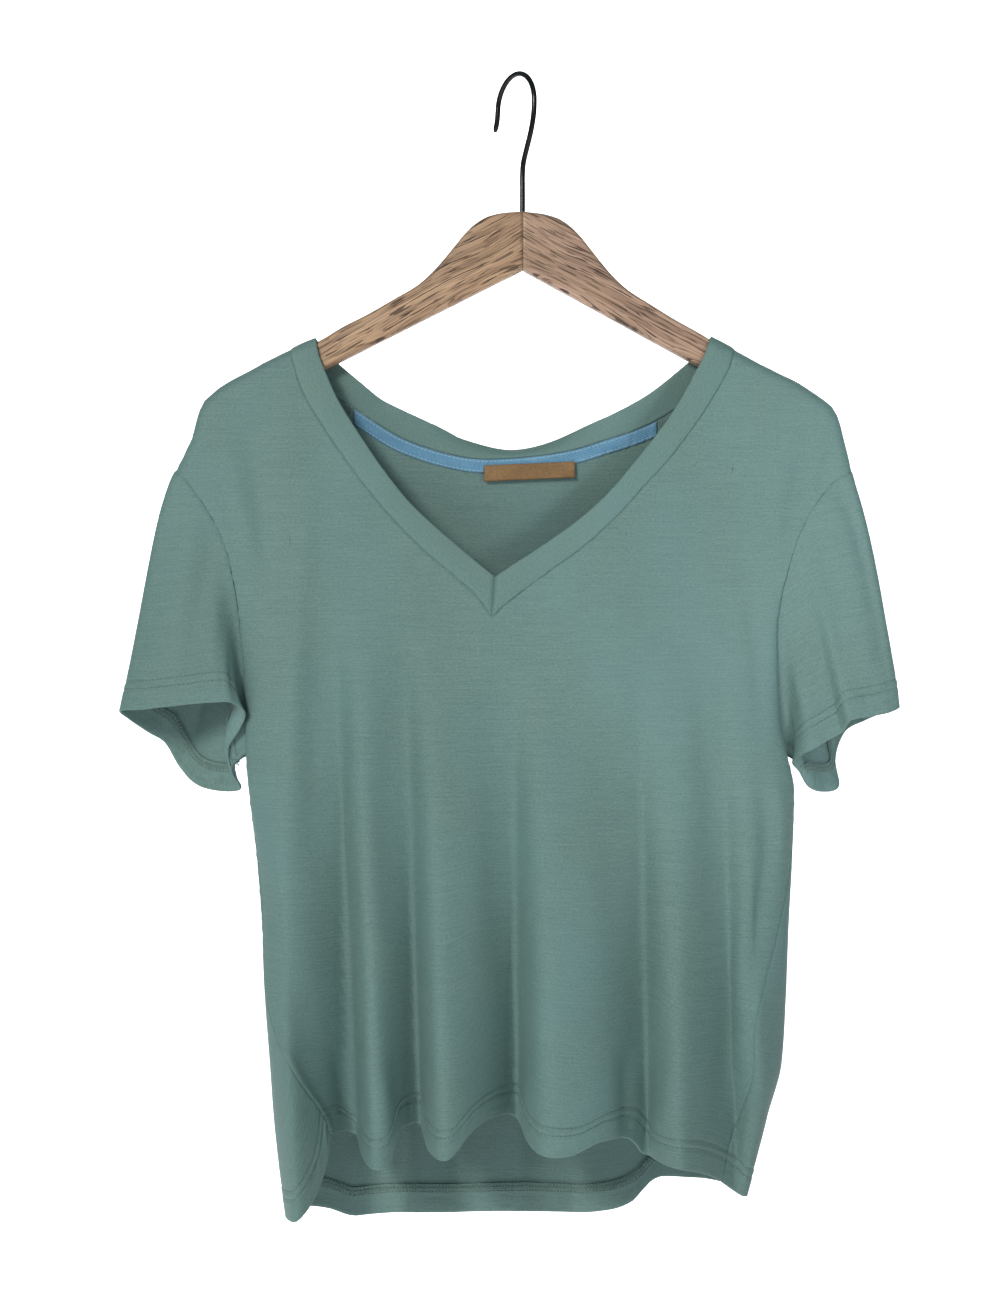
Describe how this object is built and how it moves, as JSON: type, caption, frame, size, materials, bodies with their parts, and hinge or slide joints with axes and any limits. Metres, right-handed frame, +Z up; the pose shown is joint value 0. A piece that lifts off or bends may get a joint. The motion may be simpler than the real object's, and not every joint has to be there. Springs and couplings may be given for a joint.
{
  "type": "v-neck t-shirt on a wooden hanger",
  "caption": "Short-sleeved V-neck t-shirt in soft slub jersey, draped flat on a wooden hanger with a wire hook.",
  "frame": {"origin": "inside top of the hook's bend, where it rests on a rail", "axes": "+Z up, +X to the viewer's right, the front of the shirt faces -Y"},
  "size_m": [0.5581, 0.1303, 0.8339],
  "materials": {
    "jersey": "soft slub jersey, slight sheen",
    "tape": "woven twill tape",
    "kraft": "smooth washed kraft label",
    "oak": "satin, open dark grain",
    "wire": "gloss black"
  },
  "bodies": {
    "root": {"front_panel": "jersey", "back_panel": "jersey", "sleeve_left": "jersey", "sleeve_right": "jersey", "neckband": "jersey", "neck_tape": "tape", "neck_label": "kraft", "hanger_arm_left": "oak", "hanger_arm_right": "oak", "hanger_hook": "wire"}
  },
  "joints": []
}
